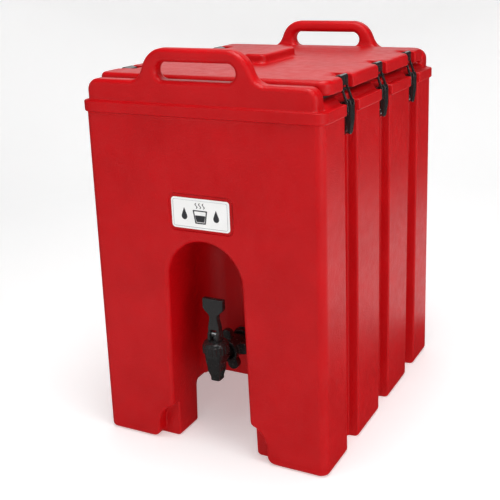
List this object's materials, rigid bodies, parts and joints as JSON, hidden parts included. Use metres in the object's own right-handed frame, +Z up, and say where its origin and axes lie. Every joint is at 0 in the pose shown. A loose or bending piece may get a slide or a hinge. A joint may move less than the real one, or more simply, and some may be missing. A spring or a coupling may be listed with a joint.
{
  "type": "insulated_beverage_carrier",
  "caption": "Tall thick-wall insulated drink carrier with two loop handles, a latched lift-off lid and a hand-lever spigot set in an arched front niche.",
  "frame": {"origin": "on the floor, under the middle of the box", "axes": "+Z up, -Y out of the face with the spigot niche and the label, +X to the right of somebody who looks at that face"},
  "size_m": [0.409, 0.514, 0.643],
  "materials": {
    "red_shell": "rotomoulded polyethylene, satin with a fine orange-peel grain",
    "black_nylon": "moulded black nylon, semi-gloss",
    "stainless": "plain stainless pins and valve stem",
    "silicone": "translucent white food silicone",
    "gasket_rubber": "dark gasket rubber",
    "foam": "rigid polyurethane foam, never seen",
    "label": "white moulded-in plate with a thin border and no lettering"
  },
  "bodies": {
    "carrier": {"body_shell": "red_shell", "body_foam_port_plug": "red_shell", "label_plate": "label", "spigot_shank": "black_nylon", "shank_inner_gasket": "silicone", "shank_outer_washer": "gasket_rubber", "shank_lock_nut": "black_nylon", "spigot_wing_nut": "black_nylon", "valve_body": "black_nylon", "bonnet_cap": "black_nylon", "latch_right_1_base": "black_nylon", "latch_right_1_lever_pin": "stainless", "latch_right_2_base": "black_nylon", "latch_right_2_lever_pin": "stainless", "latch_right_3_base": "black_nylon", "latch_right_3_lever_pin": "stainless", "latch_left_1_base": "black_nylon", "latch_left_1_lever_pin": "stainless", "latch_left_2_base": "black_nylon", "latch_left_2_lever_pin": "stainless", "latch_left_3_base": "black_nylon", "latch_left_3_lever_pin": "stainless"},
    "lid": {"lid_shell": "red_shell", "lid_foam": "foam", "lid_foam_port_plug": "red_shell", "lid_gasket": "gasket_rubber", "vent_seal": "silicone"},
    "vent_cap": {"vent_cap": "black_nylon"},
    "valve_stem": {"valve_stem": "stainless", "seat_cup": "silicone", "handle_pin": "stainless"},
    "spigot_handle": {"spigot_handle": "black_nylon"},
    "lever_right_1": {"latch_right_1_lever": "black_nylon"},
    "link_right_1": {"latch_right_1_link": "black_nylon", "latch_right_1_link_pin": "stainless"},
    "lever_right_2": {"latch_right_2_lever": "black_nylon"},
    "link_right_2": {"latch_right_2_link": "black_nylon", "latch_right_2_link_pin": "stainless"},
    "lever_right_3": {"latch_right_3_lever": "black_nylon"},
    "link_right_3": {"latch_right_3_link": "black_nylon", "latch_right_3_link_pin": "stainless"},
    "lever_left_1": {"latch_left_1_lever": "black_nylon"},
    "link_left_1": {"latch_left_1_link": "black_nylon", "latch_left_1_link_pin": "stainless"},
    "lever_left_2": {"latch_left_2_lever": "black_nylon"},
    "link_left_2": {"latch_left_2_link": "black_nylon", "latch_left_2_link_pin": "stainless"},
    "lever_left_3": {"latch_left_3_lever": "black_nylon"},
    "link_left_3": {"latch_left_3_link": "black_nylon", "latch_left_3_link_pin": "stainless"}
  },
  "joints": [
    {"name": "lid_lift", "type": "slide", "parent": "carrier", "child": "lid", "axis": [0, 0, 1], "range_m": [0, 0.04]},
    {"name": "vent_cap_turn", "type": "hinge", "parent": "lid", "child": "vent_cap", "pos_m": [-0.1, -0.042, 0.6], "axis": [0, 0, 1], "range_deg": [0, 90]},
    {"name": "valve_lift", "type": "slide", "parent": "carrier", "child": "valve_stem", "axis": [0, 0, 1], "range_m": [0, 0.004], "stiffness_N_per_m": 800},
    {"name": "spigot_handle_tilt", "type": "hinge", "parent": "valve_stem", "child": "spigot_handle", "pos_m": [0, -0.227, 0.195], "axis": [1, 0, 0], "range_deg": [0, 30.1]},
    {"name": "lever_right_1_open", "type": "hinge", "parent": "carrier", "child": "lever_right_1", "pos_m": [0.1975, -0.146, 0.56], "axis": [0, -1, 0], "range_deg": [0, 150]},
    {"name": "link_right_1_swing", "type": "hinge", "parent": "lever_right_1", "child": "link_right_1", "pos_m": [0.197, -0.146, 0.547], "axis": [0, 1, 0], "range_deg": [0, 280]},
    {"name": "lever_right_2_open", "type": "hinge", "parent": "carrier", "child": "lever_right_2", "pos_m": [0.1975, 0, 0.56], "axis": [0, -1, 0], "range_deg": [0, 150]},
    {"name": "link_right_2_swing", "type": "hinge", "parent": "lever_right_2", "child": "link_right_2", "pos_m": [0.197, 0, 0.547], "axis": [0, 1, 0], "range_deg": [0, 280]},
    {"name": "lever_right_3_open", "type": "hinge", "parent": "carrier", "child": "lever_right_3", "pos_m": [0.1975, 0.146, 0.56], "axis": [0, -1, 0], "range_deg": [0, 150]},
    {"name": "link_right_3_swing", "type": "hinge", "parent": "lever_right_3", "child": "link_right_3", "pos_m": [0.197, 0.146, 0.547], "axis": [0, 1, 0], "range_deg": [0, 280]},
    {"name": "lever_left_1_open", "type": "hinge", "parent": "carrier", "child": "lever_left_1", "pos_m": [-0.1975, -0.146, 0.56], "axis": [0, 1, 0], "range_deg": [0, 150]},
    {"name": "link_left_1_swing", "type": "hinge", "parent": "lever_left_1", "child": "link_left_1", "pos_m": [-0.197, -0.146, 0.547], "axis": [0, -1, 0], "range_deg": [0, 280]},
    {"name": "lever_left_2_open", "type": "hinge", "parent": "carrier", "child": "lever_left_2", "pos_m": [-0.1975, 0, 0.56], "axis": [0, 1, 0], "range_deg": [0, 150]},
    {"name": "link_left_2_swing", "type": "hinge", "parent": "lever_left_2", "child": "link_left_2", "pos_m": [-0.197, 0, 0.547], "axis": [0, -1, 0], "range_deg": [0, 280]},
    {"name": "lever_left_3_open", "type": "hinge", "parent": "carrier", "child": "lever_left_3", "pos_m": [-0.1975, 0.146, 0.56], "axis": [0, 1, 0], "range_deg": [0, 150]},
    {"name": "link_left_3_swing", "type": "hinge", "parent": "lever_left_3", "child": "link_left_3", "pos_m": [-0.197, 0.146, 0.547], "axis": [0, -1, 0], "range_deg": [0, 280]}
  ],
  "couplings": [
    {"joint": "spigot_handle_tilt", "follows": "valve_lift", "rad_per_m": 130.9},
    {"joint": "lever_right_1_open", "follows": "lid_lift", "rad_per_m": 65.4},
    {"joint": "link_right_1_swing", "follows": "lid_lift", "rad_per_m": 122.1},
    {"joint": "lever_right_2_open", "follows": "lid_lift", "rad_per_m": 65.4},
    {"joint": "link_right_2_swing", "follows": "lid_lift", "rad_per_m": 122.1},
    {"joint": "lever_right_3_open", "follows": "lid_lift", "rad_per_m": 65.4},
    {"joint": "link_right_3_swing", "follows": "lid_lift", "rad_per_m": 122.1},
    {"joint": "lever_left_1_open", "follows": "lid_lift", "rad_per_m": 65.4},
    {"joint": "link_left_1_swing", "follows": "lid_lift", "rad_per_m": 122.1},
    {"joint": "lever_left_2_open", "follows": "lid_lift", "rad_per_m": 65.4},
    {"joint": "link_left_2_swing", "follows": "lid_lift", "rad_per_m": 122.1},
    {"joint": "lever_left_3_open", "follows": "lid_lift", "rad_per_m": 65.4},
    {"joint": "link_left_3_swing", "follows": "lid_lift", "rad_per_m": 122.1}
  ]
}
